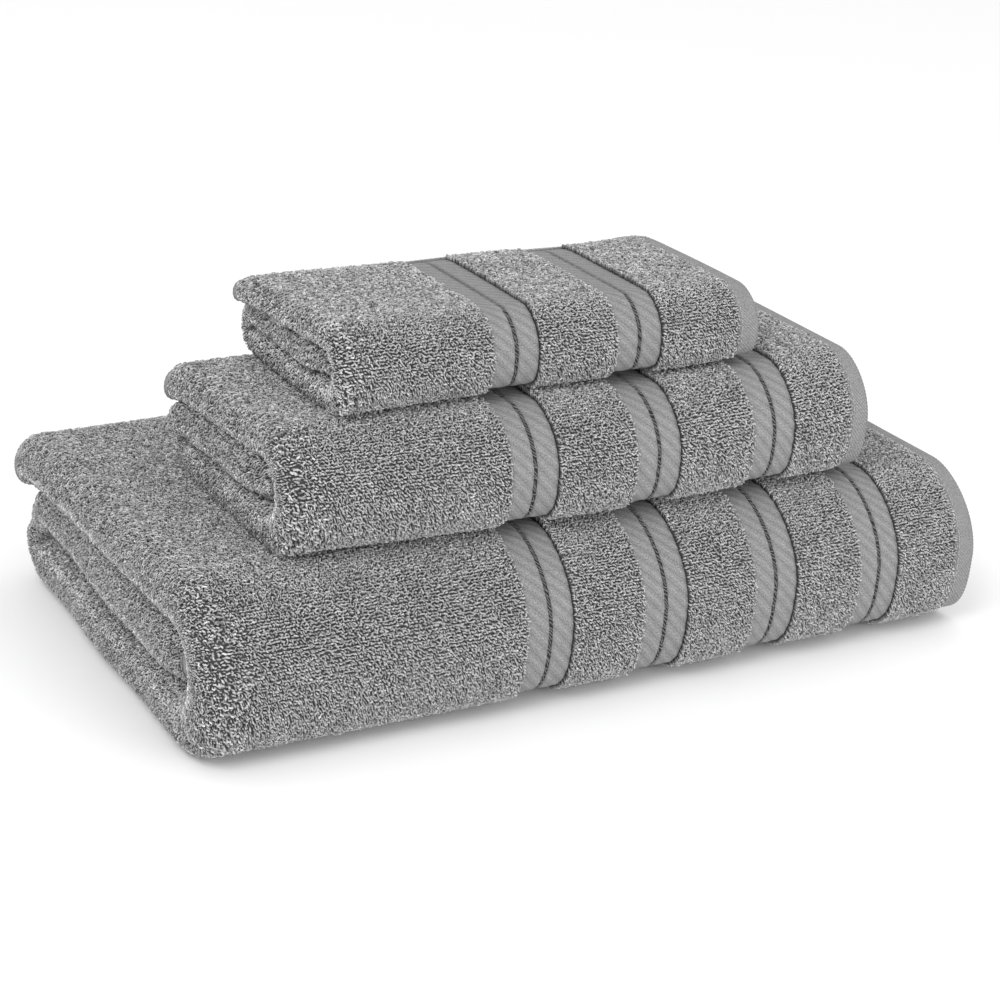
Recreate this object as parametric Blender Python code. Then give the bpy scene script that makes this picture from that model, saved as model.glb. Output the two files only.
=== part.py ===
"""Bath towel set: a bath towel, a hand towel and a face towel, folded and stacked.

Each towel is one sheet of terry cloth with flat woven bands across it near both ends, a
flat turned hem on all four sides and a line of sewing thread along each hem. The sheet is
folded along its length first, the bath towel in thirds and the other two in half, and
that packet is then folded across in thirds. The full-height fold faces the front (-Y),
the rounded fold lips face left (-X), and the end hem of the outer ply faces right (+X).

Frame: metres, +Z up, the origin under the middle of the bath towel's footprint.
"""

import math
from collections import namedtuple

import bmesh
import bpy

# Driving dimensions. Length and width are the cut size of the flat towel, and pitch is
# the height that one ply takes in the folded stack. The first of a towel's bands lies
# first_band from its end, and the next ones follow at band_step.
Towel = namedtuple(
    "Towel",
    "name length width plies pitch bands first_band band_step centre turn_deg grey",
)
BATH = Towel(
    "bath_towel", 1.40, 0.77, 3, 0.0103, 4, 0.0686, 0.0709, (0.0, 0.0), 0.0, 0.27
)
HAND = Towel(
    "hand_towel", 0.70, 0.42, 2, 0.0111, 3, 0.0662, 0.0749, (-0.0052, -0.0316), -0.5, 0.25
)
FACE = Towel(
    "face_towel", 0.50, 0.35, 2, 0.0079, 2, 0.0752, 0.0748, (-0.0206, -0.0258), 0.4, 0.27
)

LAYERS = 3  # the fold across always makes three layers
PLY_GAP = 0.0015  # air between two plies
REST_GAP = 0.0003  # clearance where one towel rests on another
FLAT_THICKNESS = 0.0032  # of the bands and hems, which have no pile
BAND_WIDTH = 0.028
END_HEM = 0.013  # width of the hem across each end
SIDE_HEM = 0.008  # width of the hem along each side
PILE_STEP = 0.002  # length over which the pile ends at a band or a hem
END_INSET = 0.004  # how far the tucked plies stop short of the outer end hem
BACK_INSET = 0.010  # how far the top layer's free edge stops short of the back fold
TUCK_SHARE = 0.3  # how far the tucked layer reaches into the front fold, in layers
THREAD_RADIUS = 0.00025
THREAD_GAP = 0.0003  # clearance between a hem and its thread
THREAD_OFFSET = FLAT_THICKNESS / 2 + THREAD_GAP + THREAD_RADIUS * math.sqrt(2)
SEAM_FROM_EDGE = 0.8  # a seam's distance from the edge, as a share of its hem
END_SEAM_MARGIN = 0.003  # an end seam's thread stops this far from the corners

SMALL_TURN = math.radians(22.5)  # facet angle of the ply folds and the back fold
FRONT_TURN = math.radians(15)  # facet angle of the large front fold

# A station is one cross-section of a folded strip: where its middle line runs, which way
# its face looks there, how far along the cloth it is, and whether the weave is flat there.
Station = namedtuple("Station", "point normal along flat")


def remove_all_objects():
    for obj in list(bpy.data.objects):
        bpy.data.objects.remove(obj, do_unlink=True)


def thickness(towel):
    return towel.pitch - PLY_GAP


def packet(towel):
    """Height that one layer, a packet of folded plies, takes in the stack."""
    return towel.plies * towel.pitch


def half_packet(towel):
    return (packet(towel) - PLY_GAP) / 2


def folded_height(towel):
    return (LAYERS - 1) * packet(towel) + 2 * half_packet(towel)


class Strip:
    """Middle line of a folded strip in a plane, built from straight runs and round folds."""

    def __init__(self, point, heading):
        self.point = point
        self.heading = heading
        self.along = 0.0
        self.stations = []
        self.mark()

    def mark(self):
        normal = (-math.sin(self.heading), math.cos(self.heading))
        self.stations.append(Station(self.point, normal, self.along, False))

    def run(self, distance):
        x, y = self.point
        x += distance * math.cos(self.heading)
        y += distance * math.sin(self.heading)
        self.point = (x, y)
        self.along += distance
        self.mark()

    def fold(self, radius, facet, side):
        """A half turn: side is 1 to the left of the heading and -1 to the right."""
        x, y = self.point
        centre = (
            x - side * radius * math.sin(self.heading),
            y + side * radius * math.cos(self.heading),
        )
        steps = round(math.pi / facet)
        for _ in range(steps):
            self.heading += side * math.pi / steps
            self.along += radius * math.pi / steps
            self.point = (
                centre[0] + side * radius * math.sin(self.heading),
                centre[1] - side * radius * math.cos(self.heading),
            )
            self.mark()


def with_flats(stations, zones):
    """Adds the stations where each flat zone starts and ends, and marks those inside."""
    total = stations[-1].along
    result = list(stations)
    for start, end in zones:
        places = (start - PILE_STEP, start, end, end + PILE_STEP)
        inside = (place for place in places if 0 < place < total)
        result.extend(at_distance(stations, place) for place in inside)
    result.sort(key=lambda station: station.along)
    margin = PILE_STEP / 2
    return [
        s._replace(flat=any(a - margin < s.along < b + margin for a, b in zones))
        for s in result
    ]


def hem_zones(total, hem):
    return [(0.0, hem), (total - hem, total)]


def band_zones(towel, total):
    """Where the bands lie along the cloth, counted from both of its ends."""
    zones = []
    for i in range(towel.bands):
        middle = towel.first_band + i * towel.band_step
        start, end = middle - BAND_WIDTH / 2, middle + BAND_WIDTH / 2
        zones += [(start, end), (total - end, total - start)]
    return zones


def at_distance(stations, along):
    """A station part of the way along a straight run."""
    for first, second in zip(stations, stations[1:]):
        if first.along <= along <= second.along:
            share = (along - first.along) / (second.along - first.along)
            point = tuple(
                a + share * (b - a) for a, b in zip(first.point, second.point)
            )
            return Station(point, first.normal, along, False)
    raise ValueError("that distance is past the end of the strip")


def length_in_half(towel):
    """Folded length of a towel that is folded once along its length."""
    loop = towel.pitch / 2
    tip = loop + thickness(towel) / 2
    return (towel.length + END_INSET - math.pi * loop) / 2 + tip


def length_in_thirds(towel):
    """Folded length of a towel whose third ply is tucked between the other two."""
    tip = towel.pitch + thickness(towel) / 2
    right_tip = (towel.pitch + thickness(towel)) / 2
    loops = 1.5 * math.pi * towel.pitch
    return (towel.length + 3 * tip + 2 * (END_INSET + right_tip) - loops) / 3


def folded_length(towel):
    return length_in_thirds(towel) if towel.plies == 3 else length_in_half(towel)


def folded_depth(towel):
    loops = 1.5 * math.pi * packet(towel)
    tuck = TUCK_SHARE * packet(towel)
    spent = 4 * packet(towel) + 5 * half_packet(towel) + BACK_INSET
    return (towel.width + spent - loops - tuck) / 3


def ply_strip(towel):
    """Folds along the length, in the plane of X and height within one packet."""
    right = folded_length(towel)
    if towel.plies == 2:
        tip = (towel.pitch + thickness(towel)) / 2
        strip = Strip((right, towel.pitch / 2), math.pi)
        strip.run(right - tip)
        strip.fold(towel.pitch / 2, SMALL_TURN, 1)
        strip.run(right - END_INSET - tip)
        return strip.stations
    tip = towel.pitch + thickness(towel) / 2
    right_tip = (towel.pitch + thickness(towel)) / 2
    inner_run = right - END_INSET - right_tip - tip
    strip = Strip((right, towel.pitch), math.pi)
    strip.run(right - tip)
    strip.fold(towel.pitch, SMALL_TURN, 1)
    strip.run(inner_run)
    strip.fold(towel.pitch / 2, SMALL_TURN, 1)
    strip.run(inner_run)
    return strip.stations


def layer_strip(towel):
    """Folds across the width, in the plane of Y and Z: tucked, bottom and top layer."""
    layer = packet(towel)
    half = half_packet(towel)
    front = layer + half
    back = folded_depth(towel) - layer / 2 - half
    tucked_edge = front - TUCK_SHARE * layer
    strip = Strip((tucked_edge, half + layer), 0.0)
    strip.run(back - tucked_edge)
    strip.fold(layer / 2, SMALL_TURN, -1)
    strip.run(back - front)
    strip.fold(layer, FRONT_TURN, -1)
    strip.run(folded_depth(towel) - BACK_INSET - front)
    return strip.stations


def placed(towel, ply, layer, offset):
    """The point of the cloth at two stations, offset along the cloth's own face."""
    x = ply.point[0] - offset * ply.normal[0]
    rise = ply.point[1] - offset * ply.normal[1]
    y = layer.point[0] + rise * layer.normal[0]
    z = layer.point[1] + rise * layer.normal[1]
    return (x - folded_length(towel) / 2, y - folded_depth(towel) / 2, z)


def face_strip(mesh, first, second):
    for a, b, c, d in zip(first, second, second[1:], first[1:]):
        mesh.faces.new((a, b, c, d))


def cloth_mesh(towel, plies, layers):
    """One closed solid: the outer face, the inner face and the four cut edges."""
    mesh = bmesh.new()
    sheets = []
    for side in (1, -1):
        grid = []
        for layer in layers:
            row = []
            for ply in plies:
                flat = ply.flat or layer.flat
                full = FLAT_THICKNESS if flat else thickness(towel)
                row.append(mesh.verts.new(placed(towel, ply, layer, side * full / 2)))
            grid.append(row)
        sheets.append(grid)
    outer, inner = sheets
    for first, second in zip(outer, outer[1:]):
        face_strip(mesh, first, second)
    for first, second in zip(inner, inner[1:]):
        face_strip(mesh, second, first)
    face_strip(mesh, inner[0], outer[0])
    face_strip(mesh, outer[-1], inner[-1])
    face_strip(mesh, [row[0] for row in outer], [row[0] for row in inner])
    face_strip(mesh, [row[-1] for row in inner], [row[-1] for row in outer])
    return mesh


def thread_mesh(rings):
    """A thread of square section through a list of rings of four points."""
    mesh = bmesh.new()
    loops = [[mesh.verts.new(point) for point in ring] for ring in rings]
    for first, second in zip(loops, loops[1:]):
        for i in range(4):
            j = (i + 1) % 4
            mesh.faces.new((first[i], first[j], second[j], second[i]))
    mesh.faces.new(reversed(loops[0]))
    mesh.faces.new(loops[-1])
    return mesh


def end_seam_rings(towel, plies, layers, along):
    """A thread across the towel, at one distance along its length."""
    ply = at_distance(plies, along)
    start = at_distance(layers, END_SEAM_MARGIN)
    end = at_distance(layers, layers[-1].along - END_SEAM_MARGIN)
    inside = [s for s in layers if start.along < s.along < end.along]
    rings = []
    for layer in (start, *inside, end):
        ring = []
        for turn in range(4):
            dx = THREAD_RADIUS * math.sqrt(2) * math.cos(math.pi / 2 * turn)
            dn = THREAD_RADIUS * math.sqrt(2) * math.sin(math.pi / 2 * turn)
            x, y = ply.point
            moved = ply._replace(point=(x + dx, y))
            ring.append(placed(towel, moved, layer, THREAD_OFFSET + dn))
        rings.append(ring)
    return rings


def side_seam_rings(towel, plies, layers, along):
    """A thread along the towel, at one distance across its width, between the end hems."""
    layer = at_distance(layers, along)
    margin = END_HEM + PILE_STEP
    total = plies[-1].along
    start = at_distance(plies, margin)
    end = at_distance(plies, total - margin)
    inside = [s for s in plies if start.along < s.along < end.along]
    rings = []
    for ply in (start, *inside, end):
        ring = []
        for turn in range(4):
            dy = THREAD_RADIUS * math.sqrt(2) * math.cos(math.pi / 2 * turn)
            dn = THREAD_RADIUS * math.sqrt(2) * math.sin(math.pi / 2 * turn)
            y, z = layer.point
            moved = layer._replace(point=(y + dy, z))
            ring.append(placed(towel, ply, moved, THREAD_OFFSET + dn))
        rings.append(ring)
    return rings


def fabric_material(name, grey, roughness):
    material = bpy.data.materials.new(name)
    material.use_nodes = True
    shader = material.node_tree.nodes["Principled BSDF"]
    shader.inputs["Base Color"].default_value = (grey, grey, grey, 1.0)
    shader.inputs["Roughness"].default_value = roughness
    shader.inputs["Metallic"].default_value = 0.0
    return material


def add_node(name, mesh, material, anchor):
    """Turns a bmesh into a named object under the towel's anchor."""
    bmesh.ops.recalc_face_normals(mesh, faces=mesh.faces)
    data = bpy.data.meshes.new(name)
    mesh.to_mesh(data)
    mesh.free()
    data.materials.append(material)
    obj = bpy.data.objects.new(name, data)
    bpy.context.scene.collection.objects.link(obj)
    obj.parent = anchor
    return obj


def add_towel(towel, base):
    """One folded towel with its bottom at the height base."""
    anchor = bpy.data.objects.new(towel.name, None)
    bpy.context.scene.collection.objects.link(anchor)
    anchor.location = (*towel.centre, base)
    anchor.rotation_euler.z = math.radians(towel.turn_deg)
    plies = ply_strip(towel)
    total = plies[-1].along
    plies = with_flats(plies, hem_zones(total, END_HEM) + band_zones(towel, total))
    layers = layer_strip(towel)
    layers = with_flats(layers, hem_zones(layers[-1].along, SIDE_HEM))
    cloth = fabric_material(f"{towel.name}_terry", towel.grey, 0.95)
    thread = fabric_material(f"{towel.name}_thread", towel.grey * 1.2, 0.6)
    add_node(f"{towel.name}_cloth", cloth_mesh(towel, plies, layers), cloth, anchor)
    end_seam = SEAM_FROM_EDGE * END_HEM
    side_seam = SEAM_FROM_EDGE * SIDE_HEM
    seams = (
        ("outer_end_seam", end_seam_rings, end_seam),
        ("tucked_end_seam", end_seam_rings, plies[-1].along - end_seam),
        ("tucked_side_seam", side_seam_rings, side_seam),
        ("top_side_seam", side_seam_rings, layers[-1].along - side_seam),
    )
    for label, rings_of, along in seams:
        rings = rings_of(towel, plies, layers, along)
        add_node(f"{towel.name}_{label}", thread_mesh(rings), thread, anchor)


def main():
    remove_all_objects()
    base = 0.0
    for towel in (BATH, HAND, FACE):
        add_towel(towel, base)
        base += folded_height(towel) + REST_GAP


main()
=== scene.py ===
"""Looks of the bath towel set: three folded terry towels with dobby bands, stacked.

Every towel is modelled flat and then folded. A point of the flat cloth is (u, v, h): u
metres along the towel from its outer end, v metres across it from its tucked side, and h
metres above the cloth's middle surface, towards its outer face. Towel.world turns such
points into the folded, slightly slumped towel, so the sheet, its pile loops, its woven
bands and its stitches all follow the same folds.
"""

import math

import bpy
import numpy as np
from mathutils import Matrix, Vector


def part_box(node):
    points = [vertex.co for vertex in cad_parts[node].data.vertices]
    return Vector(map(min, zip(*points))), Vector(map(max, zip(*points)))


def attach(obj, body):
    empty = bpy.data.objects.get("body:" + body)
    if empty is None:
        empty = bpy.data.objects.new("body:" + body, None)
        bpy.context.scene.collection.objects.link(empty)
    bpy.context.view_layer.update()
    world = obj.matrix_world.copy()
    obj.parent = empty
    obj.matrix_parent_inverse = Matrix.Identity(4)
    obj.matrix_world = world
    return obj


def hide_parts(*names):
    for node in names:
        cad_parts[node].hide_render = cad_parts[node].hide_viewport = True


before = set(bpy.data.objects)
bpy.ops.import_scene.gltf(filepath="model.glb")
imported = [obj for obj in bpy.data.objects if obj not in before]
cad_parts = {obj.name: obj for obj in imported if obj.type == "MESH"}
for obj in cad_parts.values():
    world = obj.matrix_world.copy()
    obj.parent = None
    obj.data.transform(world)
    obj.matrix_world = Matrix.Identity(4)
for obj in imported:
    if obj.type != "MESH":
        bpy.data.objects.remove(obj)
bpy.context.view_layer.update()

MM = 0.001
LAYERS = 3  # the fold across makes a tucked, a bottom and a top layer
PLY_GAP = 1.5 * MM
END_INSET = 4 * MM
BACK_INSET = 10 * MM
TUCK_SHARE = 0.3  # how far the tucked layer reaches past the front fold's middle, in layers
PILE_ROOT = 2.0 * MM  # how far the ground lies below the pile's surface: between the loops,
BAND_DEPTH = 2.6 * MM  # in the bands,
HEM_DEPTH = 1.5 * MM  # and in the hems, which are folded double
PILE_STEP = 1.2 * MM  # length over which the pile ends at a band or a hem
BAND_WIDTH = 28 * MM
END_HEM = 13 * MM
SIDE_HEM = 6 * MM

ROW_PITCH = 1.2 * MM  # between two rows of loops, which run along the towel
LOOP_PITCH = 1.15 * MM  # between two loops of a row
LOOP_HEIGHT = 2.2 * MM
LOOP_SINK = 0.3 * MM  # the loops' feet lie this deep in the ground
LOOP_SPAN = 0.9 * MM
YARN = 0.30 * MM  # radius of a loop's yarn
SPARSE = 1.25  # how much larger and further apart the loops at the back are
BRUSHED, COMBED = 0.30, 0.18  # how much loops differ: on the tops and lips, and elsewhere
JITTER_U, JITTER_V = 0.13, 0.10  # how far loops stray from their places, in pitches
LOOP_ANGLE, LOOP_ANGLE_SPREAD = 0.5, 0.6  # in which direction loops span, in radians
LOOP_SIZES = 0.6, 1.35  # the smallest and largest loop
SIZE_SPREAD = 0.7  # how much of a loop's variety goes to its size
LEAN = 0.22 * MM  # how far single loops lean,
NAP = 0.4 * MM  # and how far whole patches of them do
NAP_SIZE = 0.03
BLOTCH, BLOTCH_SIZE = 0.06, 0.02  # lighter and darker patches of loops
CREST_PLACE = 0.66  # the painted highlight along the lips' crest: its place, as a share of their half circle
CREST_HIGHLIGHT, CREST_WIDTH = 0.35, 2.2 * MM
# The rings of an arch: place across and up in spans and heights, the direction that faces
# out of the arch there, and how thick the yarn is.
ARCH = np.array([
    (-0.40, 0.00, -1.0, 0.0, 0.85),
    (-0.45, 0.92, -0.6, 0.8, 1.10),
    (0.45, 0.92, 0.6, 0.8, 1.10),
    (0.40, 0.00, 1.0, 0.0, 0.85),
])

TWILL_LIFT = 0.3 * MM  # how far the twill of the bands and hems stands above its ground
RIB_HEIGHT = 0.3 * MM
SKIRT = 0.7 * MM  # how far the edges of the twill go down into the cloth
BAND_RIB = 5.7 * MM  # from one slanted rib of the twill to the next
HEM_RIB = 1.5 * MM
RIB_SLOPE = 0.75
FINE_RIBS = 3  # small ribs on each rib of a band
RIB_SHARE, FINE_SHARE = 0.65, 0.35  # of the relief
ROWS_PER_RIB = 4
TWILL_COLUMNS = 7
TWILL_EDGE = 0.8 * MM  # how far the hems' twill stays inside the cloth's edge
OPENWORK = 2.5 * MM  # width of the open line in the middle of a band
BAND_GAP = 0.6 * MM  # width of the open line along a band's outer side
BAR_PITCH, BAR_JITTER = 1.5 * MM, 0.3 * MM  # of the slanted threads across the open lines
BAR_ANGLE, BAR_ANGLE_SPREAD = 0.7, 0.25
BAR_OVERLAP = 0.5 * MM
BAR_SINK = 0.2 * MM
BAR_HEIGHT = 0.35 * MM
BAR_YARN = 0.2 * MM
# painted shade of the threads in the open lines, as a share of the yarn's grey
BAR_PAINTED_SHADE = 0.5
SEAM_PLACE = 0.86  # where a hem's seam lies, as a share of the hem's width
STITCH = 3.0 * MM
STITCH_SHARE = 1.2  # from one stitch to the next, in spans of a stitch
STITCH_HEIGHT = 0.35 * MM
STITCH_SINK = 0.1 * MM
THREAD = 0.34 * MM  # radius of the sewing thread

FOOT_POWER = 3.0  # the front fold's profile is a superellipse, a circle at power 2
SHOULDER_POWER = 1.75
LIP_POWER = 2.7
TUCK_PULL = 7 * MM  # the hidden side hem shrinks back from the left, behind the front fold
TUCK_PULL_REACH = 30 * MM
BACK_DROOP = 0.28  # how far the top layer's free edge hangs down at the back, in layers
DROOP_REACH = 20 * MM
END_DROOP = 3.0 * MM  # how far the top slopes down towards the open end
END_DROOP_REACH = 22 * MM
TUCKED_FROM = 0.28, 0.36  # shares of the height between which the tucked layer begins,
TOP_FROM = 0.60, 0.68  # and between which the top layer begins
TOP_RIPPLE, TOP_RIPPLE_SIZE = 0.010, 0.11
EDGE_RIPPLE = 1.3 * MM
SIDE_RIPPLE_SIZE, END_RIPPLE_SIZE = 0.09, 0.07

# Steps of the sheet's mesh: at the edges of bands and hems, at folds and elsewhere.
EDGE_REACH, EDGE_STEP_U, EDGE_STEP_V = 1.6 * MM, 0.6 * MM, 0.7 * MM
FOLD_REACH, FOLD_STEP = 14 * MM, 1.8 * MM
PLAIN_STEP_U, PLAIN_STEP_V = 4.5 * MM, 4.0 * MM

# How far the pile goes on past the places where it can be seen.
PAST_LIP = 15 * MM
PAST_FOLD = 12 * MM
PAST_BACK = 20 * MM
PAST_FRONT = 30 * MM

YARN_GREY = 0.40
TWILL_GREY = 0.235
THREAD_GREY = 0.42
PILE_PAINTED_SHADE, BAND_PAINTED_SHADE, HEM_SHADE = 0.18, 0.06, 0.60  # the sheet's grey, in greys of the yarn: painted shade between the loops and in the bands' open lines, and the hems' own grey
LOOP_SHADED_FOOT, LOOP_LIT_CREST = 0.30, 1.15  # greys of a loop, in greys of the yarn: painted shade at its foot and painted light at its crest
RIB_SHADED_VALLEY, RIB_LIT_CREST = 0.78, 1.16  # greys of the twill, in TWILL_GREY: painted shade in the ribs' valleys and painted light on their crests

CAMERA_PLACE = (-0.6714, -1.1259, 0.5982)
CAMERA_TURN, CAMERA_RISE, CAMERA_ROLL = -30.89, 22.29, 3.69  # degrees
CAMERA_LENS = 90.36
FLOOR_SIZE = 30
FLOOR_DROP = 0.5 * MM
FLOOR_GREY = 0.92


def smooth(low, high, x):
    """0 below low, 1 above high, and an S curve between them."""
    t = np.clip((x - low) / (high - low), 0.0, 1.0)
    return t * t * (3 - 2 * t)


def ripple(x, y, size, seed):
    """A smooth field of -1 to 1 that varies over about size metres."""
    rng = np.random.default_rng(seed)
    total = np.zeros(np.broadcast(x, y).shape)
    for _ in range(5):
        angle, phase = rng.uniform(0, 2 * math.pi, 2)
        wave = 2 * math.pi / (size * rng.uniform(0.7, 1.6))
        total += np.sin(wave * (x * math.cos(angle) + y * math.sin(angle)) + phase)
    return total / 5


class Path:
    """Middle line of a folded strip in a plane: straight runs and round folds."""

    def __init__(self, point, heading):
        self.point = np.array(point, float)
        self.heading = heading
        self.length = 0.0
        self.parts = []

    def run(self, length):
        self.parts.append((self.length, self.point.copy(), self.heading, 0.0))
        self.point += length * np.array([math.cos(self.heading), math.sin(self.heading)])
        self.length += length

    def fold(self, radius, side):
        """A half turn: side is 1 to the left of the heading and -1 to the right."""
        self.parts.append((self.length, self.point.copy(), self.heading, side / radius))
        self.point += 2 * radius * side * np.array([-math.sin(self.heading), math.cos(self.heading)])
        self.heading += side * math.pi
        self.length += math.pi * radius

    def at(self, s):
        """Points and left-hand normals at the distances s."""
        starts = np.array([part[0] for part in self.parts])
        which = np.clip(np.searchsorted(starts, s, side="right") - 1, 0, None)
        points, headings = np.zeros((*s.shape, 2)), np.zeros(s.shape)
        for i, (start, point, heading, bend) in enumerate(self.parts):
            here = which == i
            along = s[here] - start
            turned = heading + bend * along
            headings[here] = turned
            if bend:
                step = np.stack([np.sin(turned) - math.sin(heading), math.cos(heading) - np.cos(turned)], -1)
                points[here] = point + step / bend
            else:
                points[here] = point + along[:, None] * [math.cos(heading), math.sin(heading)]
        return points, np.stack([-np.sin(headings), np.cos(headings)], -1)


class Towel:
    """One towel: its cut size, its folds and where its parts lie on the flat cloth."""

    def __init__(self, name, length, width, plies, pitch, bands, first_band, band_step,
                 turn_deg, bow, puff, sag, reach, seed):
        self.name, self.length, self.width = name, length, width
        self.bow, self.puff, self.sag, self.reach = bow, puff, sag, reach
        self.plies, self.pitch, self.seed = plies, pitch, seed
        self.thick = pitch - PLY_GAP
        self.root, self.band_height, self.hem_height = (
            self.thick / 2 - depth for depth in (PILE_ROOT, BAND_DEPTH, HEM_DEPTH))
        self.layer = plies * pitch
        self.lip_radius = (plies - 1) * pitch / 2
        self.half = (self.layer - PLY_GAP) / 2
        self.height = (LAYERS - 1) * self.layer + 2 * self.half
        self.turn = math.radians(turn_deg)
        self.bands = [first_band + i * band_step for i in range(bands)]
        self.ply_path, self.layer_path = self.fold_plies(), self.fold_layers()
        self.turns_u = [start for start, _, _, bend in self.ply_path.parts if bend]
        self.bands_u = self.band_zones()
        self.hems_u = [(0, END_HEM), (length - END_HEM, length)]
        self.hems_v = [(0, SIDE_HEM), (width - SIDE_HEM, width)]
        low, high = (np.array(corner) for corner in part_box(f"{name}_cloth"))
        self.centre, self.base = (low + high)[:2] / 2, low[2]

    def band_zones(self):
        """Where the bands lie along the towel: near both of its ends."""
        middles = [*self.bands, *(self.length - middle for middle in self.bands)]
        return [(middle - BAND_WIDTH / 2, middle + BAND_WIDTH / 2) for middle in middles]

    def zoned(self, u, v, pile, band, hem):
        """The value pile, band or hem, by what the weave is at (u, v)."""
        value = pile + (band - pile) * zone_share(u, self.bands_u)
        hemmed = np.maximum(zone_share(u, self.hems_u), zone_share(v, self.hems_v))
        return value + (hem - value) * hemmed

    def ground(self, u, v):
        """How far the woven ground, on which the loops stand, lies from the middle surface."""
        half = self.zoned(u, v, self.root, self.band_height, self.hem_height)
        inward = np.minimum(np.minimum(u, self.length - u), np.minimum(v, self.width - v))
        rounding = 1 - np.clip(inward / (1.5 * MM), 0, 1)
        return half * np.sqrt(1 - 0.9 * rounding ** 2)

    def fold_plies(self):
        """Folds along the length, in the plane of X and height within one layer."""
        if self.plies == 2:
            loop = self.pitch / 2
            tip = loop + self.thick / 2
            self.long = (self.length + END_INSET - math.pi * loop) / 2 + tip
            path = Path((self.long, loop), math.pi)
            path.run(self.long - tip)
            path.fold(loop, 1)
            path.run(self.long - END_INSET - tip)
            return path
        tip = self.pitch + self.thick / 2
        right_tip = (self.pitch + self.thick) / 2
        loops = 1.5 * math.pi * self.pitch
        self.long = (self.length + 3 * tip + 2 * (END_INSET + right_tip) - loops) / 3
        inner = self.long - END_INSET - right_tip - tip
        path = Path((self.long, self.pitch), math.pi)
        path.run(self.long - tip)
        path.fold(self.pitch, 1)
        path.run(inner)
        path.fold(self.pitch / 2, 1)
        path.run(inner)
        return path

    def fold_layers(self):
        """Folds across the width, in the plane of Y and Z: tucked, bottom and top layer."""
        tuck = TUCK_SHARE * self.layer
        loops = 1.5 * math.pi * self.layer
        spent = 4 * self.layer + 5 * self.half + BACK_INSET
        self.deep = (self.width + spent - loops - tuck) / 3
        front = self.layer + self.half
        back = self.deep - self.layer / 2 - self.half
        path = Path((front - tuck, self.half + self.layer), 0.0)
        path.run(back - front + tuck)
        path.fold(self.layer / 2, -1)
        path.run(back - front)
        path.fold(self.layer, -1)
        path.run(self.deep - BACK_INSET - front)
        self.front = front
        return path

    def folded(self, u, v, h):
        """Flat points to the folded towel's own frame, from its front left bottom corner."""
        ply, ply_normal = self.ply_path.at(u)
        layer, layer_normal = self.layer_path.at(v)
        x = ply[..., 0] - h * ply_normal[..., 0]
        rise = ply[..., 1] - h * ply_normal[..., 1]
        return x, layer[..., 0] + rise * layer_normal[..., 0], layer[..., 1] + rise * layer_normal[..., 1]

    def slumped(self, x, y, z):
        """How the soft towel settles out of its plain folds."""
        x, y, z = self.settled_front(x, y, z)
        x = self.blunt_lips(x)
        along, back, share = x / self.long, y / self.deep, np.clip(z / self.height, 0, 1)
        bow = self.bow * 4 * along * (1 - along)
        y = y - bow * (1 - smooth(0, 0.6, back))
        z = z * (1 + self.puff * (1 - smooth(0, 0.3, along)) * smooth(0.3, 1, back)
                 - self.sag * smooth(0.65, 1, along))
        top, tucked = smooth(*TOP_FROM, share), smooth(*TUCKED_FROM, share)
        edge = self.deep - BACK_INSET
        bend = np.clip((y - edge) / DROOP_REACH + 1, 0, 1) ** 2
        bend = bend * (1 - 0.8 * smooth(0.75, 1, along))
        z = z - BACK_DROOP * self.layer * bend * top
        slope = np.clip((x - self.long) / END_DROOP_REACH + 1, 0, 1) ** 2
        z = z - END_DROOP * slope * share
        # Each layer's fold at the back left has its own distance from the plain fold line.
        low, middle, high = self.reach
        reach = low + (middle - low) * tucked + (high - middle) * top
        x = x + (1 - smooth(0, 0.15, along)) * smooth(0.2, 1, back) * reach
        return self.rippled(x, y, z, share)

    def settled_front(self, x, y, z):
        """The front fold is pressed square at its foot and slopes more at its shoulder."""
        dy, dz = (y - self.front) / self.front, (z - self.front) / self.front
        angle = np.arctan2(np.abs(dz), -dy)
        power = np.where(dz < 0, FOOT_POWER, SHOULDER_POWER)
        swell = (np.abs(np.cos(angle)) ** power + np.abs(np.sin(angle)) ** power) ** (-1 / power)
        swell = np.where(dy < 0, swell, 1.0)
        return x, self.front * (1 + dy * swell), self.front * (1 + dz * swell)

    def blunt_lips(self, x):
        """The folds at the left are blunter than half circles."""
        radius = self.layer / 2
        d = np.clip(x / radius, 0, 1)
        edge = np.sqrt(1 - (1 - d) ** 2)
        blunt = 1 - (1 - edge ** LIP_POWER) ** (1 / LIP_POWER)
        return np.where(x < radius, radius * (0.25 * d + 0.75 * blunt), x)

    def rippled(self, x, y, z, share):
        """The small unevenness of cloth that was folded by hand."""
        z = z * (1 + TOP_RIPPLE * ripple(x, y, TOP_RIPPLE_SIZE, self.seed) * smooth(0, 0.5, share))
        side = EDGE_RIPPLE * ripple(x, z, SIDE_RIPPLE_SIZE, self.seed + 1) * (1 - smooth(0, 0.05, y))
        end = EDGE_RIPPLE * ripple(y, z, END_RIPPLE_SIZE, self.seed + 2) * (1 - smooth(0, 0.04, x))
        return x + end, y + side, z

    def world(self, u, v, h):
        """Flat points to points of the row frame."""
        u, v, h = np.broadcast_arrays(u, v, h)
        x, y, z = self.folded(u, v, h)
        pull = TUCK_PULL * (1 - smooth(0, TUCK_PULL_REACH, v)) * (1 - smooth(0, 0.15, x / self.long))
        x, y, z = self.slumped(x + pull, y, z)
        x, y = x - self.long / 2, y - self.deep / 2
        cos, sin = math.cos(self.turn), math.sin(self.turn)
        x, y = cos * x - sin * y + self.centre[0], sin * x + cos * y + self.centre[1]
        z = np.maximum(z, 0) + self.base + self.lift(x, y)
        return np.stack([x, y, z], -1)

    def lift(self, x, y):
        """How much higher or lower than its plain height the surface below this towel lies."""
        return self.below.top(x, y) - self.below.plain_top() if self.below else 0.0 * x

    def plain_top(self):
        return self.base + self.height

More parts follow.
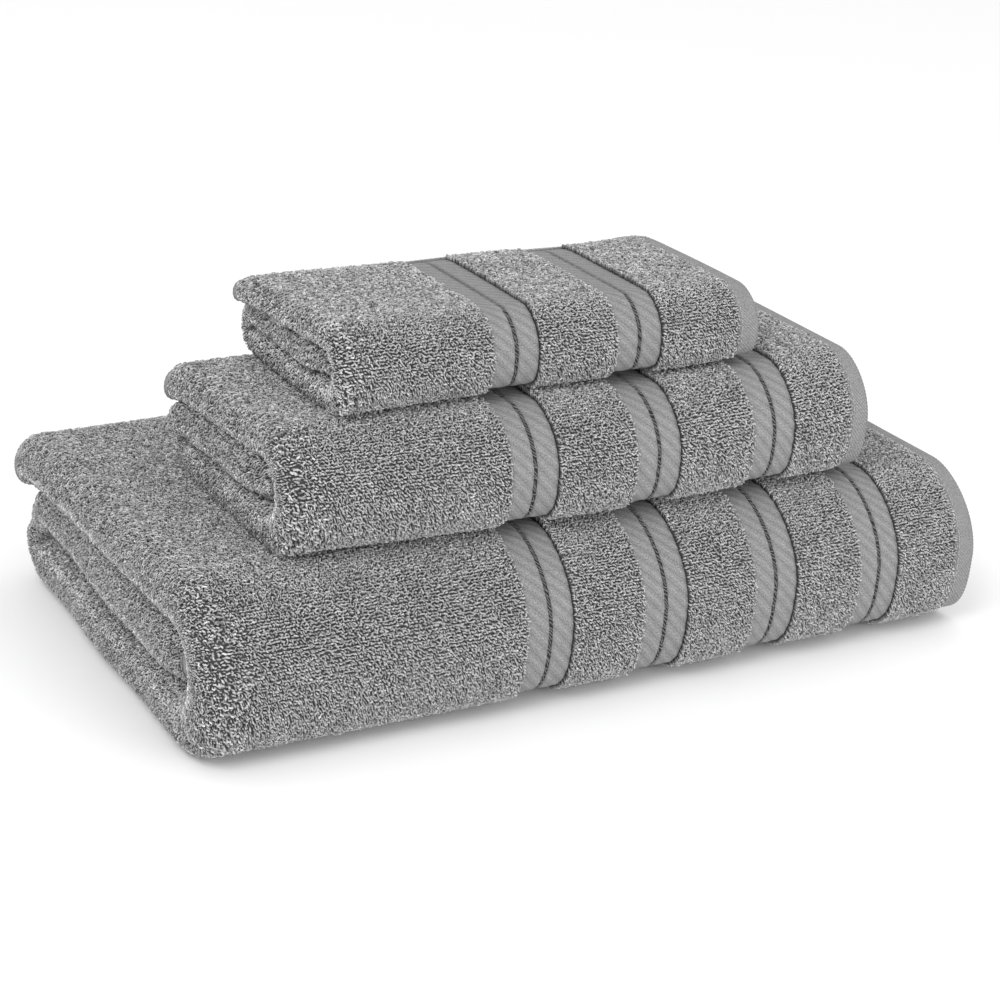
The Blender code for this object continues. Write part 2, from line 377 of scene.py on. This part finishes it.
    def top(self, x, y):
        """Height of this towel's top at world points, carried on past its edges."""
        cos, sin = math.cos(self.turn), math.sin(self.turn)
        dx, dy = x - self.centre[0], y - self.centre[1]
        near_x = np.clip(cos * dx + sin * dy + self.long / 2, 0.02, self.long)
        last_y = self.deep - BACK_INSET - DROOP_REACH
        near_y = np.clip(-sin * dx + cos * dy + self.deep / 2, self.front, last_y)
        _, _, z = self.slumped(near_x, near_y, np.full(np.shape(x), self.height))
        return z + self.base + self.lift(x, y)


TOWELS = [
    Towel("bath_towel", 1.40, 0.77, 3, 10.3 * MM, 4, 68.6 * MM, 70.9 * MM,
          turn_deg=0.0, bow=2.4 * MM, puff=0.01, sag=0.0,
          reach=(5 * MM, 8 * MM, -2 * MM), seed=11),
    Towel("hand_towel", 0.70, 0.42, 2, 11.1 * MM, 3, 66.2 * MM, 74.9 * MM,
          turn_deg=-0.5, bow=8.0 * MM, puff=0.0, sag=-0.08,
          reach=(2 * MM, -3 * MM, -7 * MM), seed=23),
    Towel("face_towel", 0.50, 0.35, 2, 7.9 * MM, 2, 75.2 * MM, 74.8 * MM,
          turn_deg=0.4, bow=-3.0 * MM, puff=0.0, sag=0.07,
          reach=(2 * MM, 2 * MM, -7 * MM), seed=37),
]
for lower, upper in zip([None, *TOWELS], TOWELS):
    upper.below = lower


def stations(total, step_at):
    """Distances from 0 to total whose spacing follows step_at."""
    fine = np.linspace(0, total, math.ceil(total / (0.2 * MM)) + 1)
    count = np.concatenate([[0], np.cumsum(np.diff(fine) / step_at(fine[1:]))])
    return np.interp(np.linspace(0, count[-1], math.ceil(count[-1]) + 1), count, fine)


def near_any(x, places, reach):
    return np.any([np.abs(x - place) < reach for place in places], axis=0)


def edges_of(zones):
    return [edge for zone in zones for edge in zone]


def zone_share(x, zones):
    """1 inside a zone, falling to 0 over the pile's edge."""
    share = np.zeros(np.shape(x))
    for low, high in zones:
        outside = np.maximum(low - x, x - high)
        share = np.maximum(share, 1 - smooth(0, PILE_STEP, outside))
    return share


def mesh_object(name, points, faces, material, flat_uv, bake_uv=None, **values):
    """A smooth mesh of quads, with a UV map in flat-cloth metres and values at its points.

    The quads are wound for right-handed (u, v, h), which the folds make left-handed."""
    faces = faces[:, ::-1]
    mesh = bpy.data.meshes.new(name)
    mesh.vertices.add(len(points))
    mesh.vertices.foreach_set("co", points.astype(np.float32).ravel())
    mesh.loops.add(faces.size)
    mesh.loops.foreach_set("vertex_index", faces.astype(np.int32).ravel())
    mesh.polygons.add(len(faces))
    mesh.polygons.foreach_set("loop_start", np.arange(0, faces.size, 4, dtype=np.int32))
    mesh.update(calc_edges=True)
    mesh.shade_smooth()
    maps = {"Flat": flat_uv} | ({} if bake_uv is None else {"OFBake": bake_uv})
    for label, uv in maps.items():
        layer = mesh.uv_layers.new(name=label)
        layer.data.foreach_set("uv", uv[faces].astype(np.float32).ravel())
    for label, value in values.items():
        attribute = mesh.attributes.new(label, "FLOAT", "POINT")
        attribute.data.foreach_set("value", value.astype(np.float32).ravel())
    mesh.materials.append(material)
    obj = bpy.data.objects.new(name, mesh)
    bpy.context.scene.collection.objects.link(obj)
    return obj


def grid_faces(rows, columns):
    """Quads of a grid of points that is numbered row by row."""
    first = (np.arange(rows - 1)[:, None] * columns + np.arange(columns - 1)).ravel()
    return np.stack([first, first + 1, first + columns + 1, first + columns], -1)


def sheet_mesh(towel, material):
    """The woven ground of a towel: a closed sheet with an outer face, an inner face and edges."""
    u = stations(towel.length, lambda x: np.where(
        near_any(x, edges_of(towel.bands_u + towel.hems_u), EDGE_REACH), EDGE_STEP_U,
        np.where(near_any(x, towel.turns_u, FOLD_REACH), FOLD_STEP, PLAIN_STEP_U)))
    v = stations(towel.width, lambda x: np.where(
        near_any(x, edges_of(towel.hems_v), EDGE_REACH), EDGE_STEP_V, PLAIN_STEP_V))
    uu, vv = np.meshgrid(u, v)
    half = towel.ground(uu, vv)
    outer, inner = towel.world(uu, vv, half), towel.world(uu, vv, -half)
    rows, columns = uu.shape
    skin = grid_faces(rows, columns)
    back = skin[:, ::-1] + rows * columns
    index = np.arange(rows * columns).reshape(rows, columns)
    rim = np.concatenate([index[0, :-1], index[:-1, -1], index[-1, :0:-1], index[:0:-1, 0]])
    after = np.roll(rim, -1)
    rim_faces = np.stack([after, rim, rim + rows * columns, after + rows * columns], -1)
    faces = np.concatenate([skin, back, rim_faces])
    flat = np.stack([uu, vv], -1).reshape(-1, 2)
    points = np.concatenate([outer.reshape(-1, 3), inner.reshape(-1, 3)])
    # Painted shade between the loops and under the bands; the hems keep their own grey.
    shade = towel.zoned(uu, vv, PILE_PAINTED_SHADE, BAND_PAINTED_SHADE, HEM_SHADE).ravel()
    # In the baking map the outer face fills the lower half and the inner face the upper half.
    bake = flat / [towel.length, 2.05 * towel.width]
    return mesh_object(towel.name + "_sheet", points, faces, material, np.concatenate([flat, flat]),
                       np.concatenate([bake, bake + [0, 0.51]]), shade=np.concatenate([shade, shade]))


def loop_places(towel, spread, u_low, u_high, v_low, v_high, rng):
    """Feet of the loops of a rectangle of cloth: jittered rows, with none in the flat weave."""
    pitch = spread * LOOP_PITCH
    u, v = np.meshgrid(np.arange(u_low, u_high, pitch), np.arange(v_low, v_high, spread * ROW_PITCH))
    u = u + pitch / 2 * (np.arange(len(v)) % 2)[:, None]
    u = (u + rng.normal(0, JITTER_U * LOOP_PITCH, u.shape)).ravel()
    v = (v + rng.normal(0, JITTER_V * ROW_PITCH, v.shape)).ravel()
    inside = (u > u_low) & (u < u_high) & (v > v_low) & (v < v_high)
    for x, zones in ((u, towel.bands_u + towel.hems_u), (v, towel.hems_v)):
        for low, high in zones:
            inside &= (x < low) | (x > high)
    return u[inside], v[inside]


def arch_mesh(towel, name, material, u, v, root, angle, span, height, yarn,
              lean_u=0.0, lean_v=0.0, tint=1.0):
    """Arches of yarn on the outer face at (u, v): terry loops, stitches or bars.

    The values after v are numbers for all arches, or arrays with one number an arch."""
    count = len(u)
    values = (u, v, root, angle, span, height, yarn, lean_u, lean_v, tint)
    u, v, root, angle, span, height, yarn, lean_u, lean_v, tint = (
        np.broadcast_to(value, count)[:, None, None] for value in values)
    ring, side = np.meshgrid(np.arange(len(ARCH)), np.arange(3), indexing="ij")
    across, up, out_x, out_z, thick = (ARCH[ring, k] for k in range(5))
    turn = np.radians([90, 210, 330])[side]
    out, aside = yarn * thick * np.sin(turn), yarn * thick * np.cos(turn)
    along = across * span + out * out_x
    bend = up ** 1.5
    uu = u + along * np.cos(angle) - aside * np.sin(angle) + bend * lean_u
    vv = v + along * np.sin(angle) + aside * np.cos(angle) + bend * lean_v
    points = towel.world(uu, vv, root + up * height + out * out_z).reshape(-1, 3)
    first = np.arange(count)[:, None] * ring.size
    r, k = np.meshgrid(np.arange(len(ARCH) - 1), np.arange(3), indexing="ij")
    r, k, after = r.ravel(), k.ravel(), (k.ravel() + 1) % 3
    quad = np.stack([3 * r + k, 3 * r + after, 3 * (r + 1) + after, 3 * (r + 1) + k], -1)
    faces = (first[:, :, None] + quad[None]).reshape(-1, 4)
    flat = np.stack([uu, vv], -1).reshape(-1, 2)
    cells = math.ceil(math.sqrt(count))
    place = np.stack([np.arange(count) % cells, np.arange(count) // cells], -1)[:, None, None, :]
    within = np.stack([0.15 + 0.35 * side, 0.1 + 0.26 * ring], -1)[None]
    bake = ((place + within) / cells).reshape(-1, 2)
    # The tint holds the yarn's uneven tone, the lips' painted highlight and the open lines' painted shade.
    return mesh_object(name, points, faces, material, flat, bake,
                       rise=np.broadcast_to(up, uu.shape), tint=np.broadcast_to(tint, uu.shape))


def pile_mesh(towel, name, material, variety, spread, rectangle, seed):
    """One piece of pile: loops that lean this way and that, and differ in size and colour."""
    rng = np.random.default_rng(seed)
    u, v = loop_places(towel, spread, *rectangle, rng)
    count = len(u)
    angle = rng.normal(LOOP_ANGLE, LOOP_ANGLE_SPREAD, count)
    scale = spread * rng.normal(1.0, SIZE_SPREAD * variety, count).clip(*LOOP_SIZES)
    lean_u, lean_v = rng.normal(0, LEAN, (2, count))
    lean_u = lean_u + NAP * ripple(u, v, NAP_SIZE, seed + 1)
    lean_v = lean_v + NAP * ripple(u, v, NAP_SIZE, seed + 2)
    tint = 1 + variety * rng.normal(0, 1, count).clip(-2.2, 2.2)
    tint = tint + BLOTCH * ripple(u, v, BLOTCH_SIZE, seed + 3)
    # A painted highlight along the crest of the lips.
    crest = towel.turns_u[0] + CREST_PLACE * math.pi * towel.lip_radius
    tint = tint * (1 + CREST_HIGHLIGHT * np.exp(-((u - crest) / CREST_WIDTH) ** 2))
    return arch_mesh(towel, name, material, u, v, towel.root - LOOP_SINK, angle, LOOP_SPAN * scale,
                     LOOP_HEIGHT * scale, YARN * scale, lean_u, lean_v, tint)


def twill_mesh(towel, name, material, strips):
    """Ribbed twill strips. A strip is (low, high, start, end, height, pitch, fine, slope, along_u).

    It reaches from low to high, and runs from start to end across the towel, or along it if
    along_u. Its slanted ribs are pitch apart, each with a number of fine ribs on it."""
    points, faces, flats, bakes, rises = [], [], [], [], []
    total = 0
    for i, (low, high, start, end, height, pitch, fine, slope, along_u) in enumerate(strips):
        across = np.concatenate([[low], np.linspace(low, high, TWILL_COLUMNS), [high]])
        rows = np.arange(start, end, pitch / (ROWS_PER_RIB * fine))
        ends = smooth(0, 2 * (high - low), np.minimum(rows - start, end - rows))
        a = np.broadcast_to(across, (len(rows), len(across)))
        b = rows[:, None] + slope * (a - (low + high) / 2) * ends[:, None]
        phase = math.pi / ROWS_PER_RIB * np.arange(len(rows))[:, None]
        rise = RIB_SHARE * np.sin(phase / fine) ** 2 + FINE_SHARE * np.sin(phase) ** 2 + 0 * a
        h = height + RIB_HEIGHT * rise
        h[0], h[-1], h[:, 0], h[:, -1] = (height - SKIRT,) * 4
        u, v = (b, a) if along_u else (a, b)
        quads = grid_faces(*a.shape) + total
        total += a.size
        points.append(towel.world(u, v, h).reshape(-1, 3))
        faces.append(quads[:, ::-1] if along_u else quads)
        flats.append(np.stack([u, v], -1).reshape(-1, 2))
        across_share, along_share = (a - low) / (high - low), (b - start) / (end - start)
        bakes.append(np.stack([(i + 0.05 + 0.9 * across_share) / len(strips),
                               0.01 + 0.98 * along_share], -1).reshape(-1, 2))
        rises.append(rise.ravel())
    points, faces, flats, bakes, rises = (
        np.concatenate(part) for part in (points, faces, flats, bakes, rises))
    return mesh_object(name, points, faces, material, flats, bakes, rise=rises)


def grey(value):
    return (value, value, value, 1.0)


class Nodes:
    """Short hand for building a material's node tree."""

    def __init__(self, name, roughness, sheen=0.0):
        self.material = bpy.data.materials.new(name)
        self.material.use_nodes = True
        self.tree = self.material.node_tree
        self.shader = self.tree.nodes["Principled BSDF"]
        self.shader.inputs["Roughness"].default_value = roughness
        self.shader.inputs["Specular IOR Level"].default_value = 0.25
        self.shader.inputs["Sheen Weight"].default_value = sheen
        self.shader.inputs["Sheen Roughness"].default_value = 0.5

    def add(self, kind, *inputs, output=0, **settings):
        """A node with its inputs given in order: a socket links, a number or tuple is set, None stays."""
        node = self.tree.nodes.new(kind)
        for key, value in settings.items():
            setattr(node, key, value)
        for socket, value in zip(node.inputs, inputs):
            if isinstance(value, bpy.types.NodeSocket):
                self.tree.links.new(value, socket)
            elif value is not None:
                socket.default_value = value
        return node.outputs[output]

    def math(self, operation, *inputs):
        return self.add("ShaderNodeMath", *inputs, operation=operation)

    def attribute(self, name):
        return self.add("ShaderNodeAttribute", output=2, attribute_name=name)

    def flat(self):
        return self.add("ShaderNodeUVMap", uv_map="Flat")

    def noise(self, vector, size, detail=2.0):
        node = self.add("ShaderNodeTexNoise", vector)
        node.node.inputs["Scale"].default_value = 1 / size
        node.node.inputs["Detail"].default_value = detail
        return node

    def scaled(self, value, low, high, to_low, to_high):
        return self.add("ShaderNodeMapRange", value, low, high, to_low, to_high)

    def color(self, value):
        """Links a grey value as the base colour."""
        rgb = self.add("ShaderNodeCombineColor", value, value, value)
        self.tree.links.new(rgb, self.shader.inputs["Base Color"])

    def bump(self, height, strength, distance):
        node = self.add("ShaderNodeBump", output=0)
        node.node.inputs["Strength"].default_value = strength
        node.node.inputs["Distance"].default_value = distance
        self.tree.links.new(height, node.node.inputs["Height"])
        self.tree.links.new(node, self.shader.inputs["Normal"])


def loop_material(name, value):
    """Terry yarn: painted light where a loop turns over and painted shade at its foot, with uneven dyeing.
    """
    nodes = Nodes(name, 0.95, sheen=0.15)
    rise, tint, flat = nodes.attribute("rise"), nodes.attribute("tint"), nodes.flat()
    # Painted shade and light: darker towards a loop's foot, lighter towards its crest.
    shade = nodes.scaled(rise, 0.0, 1.0, LOOP_SHADED_FOOT * value, LOOP_LIT_CREST * value)
    blotch = nodes.scaled(nodes.noise(flat, 9 * MM), 0.3, 0.7, 0.93, 1.07)
    plies = nodes.scaled(nodes.noise(flat, 0.45 * MM), 0.3, 0.7, 0.68, 1.32)
    for factor in (tint, blotch, plies):
        shade = nodes.math("MULTIPLY", shade, factor)
    nodes.color(shade)
    return nodes.material


def twill_material(name, value):
    """Twill: slanted ribs with painted shade in their valleys and painted light on their crests, of fine
    crossing yarns painted darker where they dip, with uneven dyeing.
    """
    nodes = Nodes(name, 0.8, sheen=0.1)
    flat = nodes.flat()
    split = nodes.add("ShaderNodeSeparateXYZ", flat).node
    weave = [nodes.math("SINE", nodes.math("MULTIPLY", split.outputs[i], 2 * math.pi / pitch))
             for i, pitch in ((0, 0.8 * MM), (1, 0.55 * MM))]
    height = nodes.math("MULTIPLY", *weave)
    # Painted shade in the ribs' valleys and painted light on their crests.
    shade = nodes.scaled(nodes.attribute("rise"), 0.0, 1.0, RIB_SHADED_VALLEY * value, RIB_LIT_CREST * value)
    # Painted shade where the fine crossing yarns dip, then uneven dyeing.
    for factor in (nodes.scaled(height, -1.0, 1.0, 0.88, 1.10),
                   nodes.scaled(nodes.noise(flat, 0.6 * MM), 0.3, 0.7, 0.55, 1.45),
                   nodes.scaled(nodes.noise(flat, 5 * MM, 4.0), 0.3, 0.7, 0.93, 1.07)):
        shade = nodes.math("MULTIPLY", shade, factor)
    nodes.color(shade)
    nodes.bump(height, 0.6, 0.15 * MM)
    return nodes.material


def ground_material(name, value):
    """The sheet under the pile: painted shade between the loops and in the bands' open lines."""
    nodes = Nodes(name, 0.95)
    flat = nodes.flat()
    speckle = nodes.scaled(nodes.noise(flat, 1.5 * MM, 3.0), 0.3, 0.7, 0.75, 1.25)
    # The shade attribute holds painted shade between the loops and in the open lines, and the hems' own
    # grey.
    shade = nodes.math("MULTIPLY", nodes.attribute("shade"), value)
    nodes.color(nodes.math("MULTIPLY", shade, speckle))
    return nodes.material


def thread_material(name, value):
    """Sewing thread: two plies twisted together."""
    nodes = Nodes(name, 0.6, sheen=0.05)
    split = nodes.add("ShaderNodeSeparateXYZ", nodes.flat()).node
    place = nodes.math("ADD", split.outputs[0], split.outputs[1])
    twist = nodes.math("SINE", nodes.math("MULTIPLY", place, 2 * math.pi / (0.9 * MM)))
    nodes.color(nodes.scaled(twist, -1.0, 1.0, 0.85 * value, 1.1 * value))
    return nodes.material


def add_floor():
    bpy.ops.mesh.primitive_plane_add(size=FLOOR_SIZE, location=(0, 0, -FLOOR_DROP))
    floor = bpy.context.object
    floor.name = "floor"
    material = bpy.data.materials.new("floor")
    material.use_nodes = True
    shader = material.node_tree.nodes["Principled BSDF"]
    shader.inputs["Base Color"].default_value = grey(FLOOR_GREY)
    shader.inputs["Roughness"].default_value = 0.8
    floor.data.materials.append(material)


def add_light(name, location, target, size, power):
    light = bpy.data.lights.new(name, "AREA")
    light.shape = "DISK"
    light.size = size
    light.energy = power
    obj = bpy.data.objects.new(name, light)
    obj.location = location
    obj.rotation_euler = (Vector(target) - Vector(location)).to_track_quat("-Z", "Y").to_euler()
    bpy.context.scene.collection.objects.link(obj)


def add_world(strength):
    world = bpy.data.worlds.new("studio")
    world.use_nodes = True
    background = world.node_tree.nodes["Background"]
    background.inputs["Color"].default_value = grey(1.0)
    background.inputs["Strength"].default_value = strength
    bpy.context.scene.world = world


def add_camera():
    turn, rise, roll = (math.radians(x) for x in (CAMERA_TURN, CAMERA_RISE, CAMERA_ROLL))
    back = Vector((math.sin(turn) * math.cos(rise), -math.cos(turn) * math.cos(rise), math.sin(rise)))
    right = Vector((0, 0, 1)).cross(back).normalized()
    up = back.cross(right)
    tilted_right = math.cos(roll) * right + math.sin(roll) * up
    tilted_up = back.cross(tilted_right)
    data = bpy.data.cameras.new("camera")
    data.lens = CAMERA_LENS
    data.sensor_width = 36
    camera = bpy.data.objects.new("camera", data)
    camera.matrix_world = Matrix.Translation(CAMERA_PLACE) @ Matrix(
        (tilted_right, tilted_up, back)).transposed().to_4x4()
    bpy.context.scene.collection.objects.link(camera)
    bpy.context.scene.camera = camera


def studio():
    add_world(1.0)
    add_light("key", (-1.4, -0.9, 1.9), (0, 0, 0.1), 1.2, 18)
    add_light("fill", (0.5, -1.7, 0.35), (0, 0, 0.05), 1.4, 16)
    add_floor()
    add_camera()
    bpy.context.scene.view_settings.view_transform = "Standard"


def pile_rectangles(towel):
    """Where loops can be seen on the outer face.

    Each is (label, variety, spread, u_low, u_high, v_low, v_high)."""
    turn = towel.turns_u[0]
    lip_end = turn + math.pi * towel.lip_radius + PAST_LIP
    back_fold, front_fold = (part[0] for part in towel.layer_path.parts if part[3])
    top = front_fold + math.pi * towel.layer
    first_u, last_u = END_HEM, turn - PAST_FOLD
    middle = (first_u + last_u) / 2
    front_start = front_fold - PAST_FRONT
    back_end = back_fold + math.pi * towel.layer / 2 + PAST_BACK
    if towel.below:
        back_end = front_start  # all of the underside, which shows when the towel is lifted
    rectangles = [
        ("top_right", BRUSHED, 1.0, first_u, middle, top, towel.width),
        ("top_left", BRUSHED, 1.0, middle, last_u, top, towel.width),
        ("front_right", COMBED, 1.0, first_u, middle, front_start, top),
        ("front_left", COMBED, 1.0, middle, last_u, front_start, top),
        ("back", COMBED, SPARSE, first_u, last_u, back_fold - PAST_BACK, back_end),
        ("lips_low", BRUSHED, 1.0, last_u, lip_end, 0, front_fold),
        ("lips_top", BRUSHED, 1.0, last_u, lip_end, front_fold, towel.width),
    ]
    if towel.plies == 3:
        fold = towel.turns_u[1]
        end = fold + math.pi * towel.pitch / 2 + PAST_FOLD
        rectangles.append(("inner_fold", COMBED, SPARSE, fold - PAST_FOLD, end, 0, towel.width))
    return rectangles


def visible_v(towel):
    """Where the bands and hems start: just before the back fold."""
    return towel.layer_path.parts[1][0] - PAST_BACK


def band_strips(towel):
    """Two twill strips for each band that shows, with the open line between them."""
    start, end = visible_v(towel), towel.width - SIDE_HEM
    height = towel.band_height + TWILL_LIFT
    strips = []
    for middle in towel.bands:
        low, high = middle - BAND_WIDTH / 2 + BAND_GAP, middle + BAND_WIDTH / 2
        for a, b in ((low, middle - OPENWORK / 2), (middle + OPENWORK / 2, high)):
            strips.append((a, b, start, end, height, BAND_RIB, FINE_RIBS, RIB_SLOPE, False))
    return strips


def hem_strips(towel):
    """The outer end hem, and the side hem on the top layer's free edge."""
    height = towel.hem_height + TWILL_LIFT
    start, edge = visible_v(towel), TWILL_EDGE
    last_u = towel.turns_u[0] + math.pi * towel.lip_radius
    return [
        (edge, END_HEM, start, towel.width - SIDE_HEM, height, HEM_RIB, 1, RIB_SLOPE, False),
        (towel.width - SIDE_HEM, towel.width - edge, edge, last_u, height, HEM_RIB, 1, -RIB_SLOPE, True),
    ]


def openwork_bars(towel, name, material):
    """Uneven slanted threads across the open lines of the bands, with painted shade: half as light as the
    yarn.
    """
    rng = np.random.default_rng(towel.seed)
    v = np.arange(visible_v(towel), towel.width - SIDE_HEM, BAR_PITCH)
    u, v = (grid.ravel() for grid in np.meshgrid(towel.bands, v))
    v = v + rng.normal(0, BAR_JITTER, len(v))
    angle = rng.normal(BAR_ANGLE, BAR_ANGLE_SPREAD, len(v))
    return arch_mesh(towel, name, material, u, v, towel.band_height - BAR_SINK, angle,
                     OPENWORK + BAR_OVERLAP, BAR_HEIGHT, BAR_YARN, tint=BAR_PAINTED_SHADE)


def seam(towel, name, material, place, angle):
    """A row of stitches: across the towel at u = place if angle is 90 degrees, else along it."""
    across = angle > 0
    run = np.arange(STITCH, (towel.width if across else towel.length) - STITCH / 2, STITCH)
    u, v = (np.full(len(run), place), run) if across else (run, np.full(len(run), place))
    root = towel.hem_height + TWILL_LIFT + RIB_HEIGHT / 2 - STITCH_SINK
    span = STITCH / STITCH_SHARE
    return arch_mesh(towel, name, material, u, v, root, angle, span, STITCH_HEIGHT, THREAD)


def seams(towel):
    """Label, place and direction of the four hem seams."""
    end, side = SEAM_PLACE * END_HEM, SEAM_PLACE * SIDE_HEM
    return [
        ("outer_end", end, math.pi / 2),
        ("tucked_end", towel.length - end, math.pi / 2),
        ("tucked_side", side, 0.0),
        ("top_side", towel.width - side, 0.0),
    ]


def add_piece(towel, obj):
    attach(obj, towel.name)
    return obj


def add_towel(towel):
    name, slot = towel.name, towel.name.replace("towel", "terry")
    yarn = loop_material(name + "_yarn", YARN_GREY)
    twill = twill_material(name + "_twill", TWILL_GREY)
    thread = thread_material(name + "_thread", THREAD_GREY)
    for i, (label, variety, spread, *rectangle) in enumerate(pile_rectangles(towel)):
        seed = towel.seed * 100 + 10 * i
        obj = pile_mesh(towel, f"{name}_pile_{label}", yarn, variety, spread, rectangle, seed)
        add_piece(towel, obj)
    for label, strips in (("bands", band_strips(towel)), ("hems", hem_strips(towel))):
        add_piece(towel, twill_mesh(towel, f"{name}_{label}", twill, strips))
    add_piece(towel, openwork_bars(towel, name + "_openwork", yarn))
    for label, place, angle in seams(towel):
        obj = add_piece(towel, seam(towel, f"{name}_{label}_stitches", thread, place, angle))
        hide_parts(f"{name}_{label}_seam")
    cloth = sheet_mesh(towel, ground_material(name + "_ground", YARN_GREY))
    add_piece(towel, cloth)
    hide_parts(name + "_cloth")


studio()
for towel in TOWELS:
    add_towel(towel)
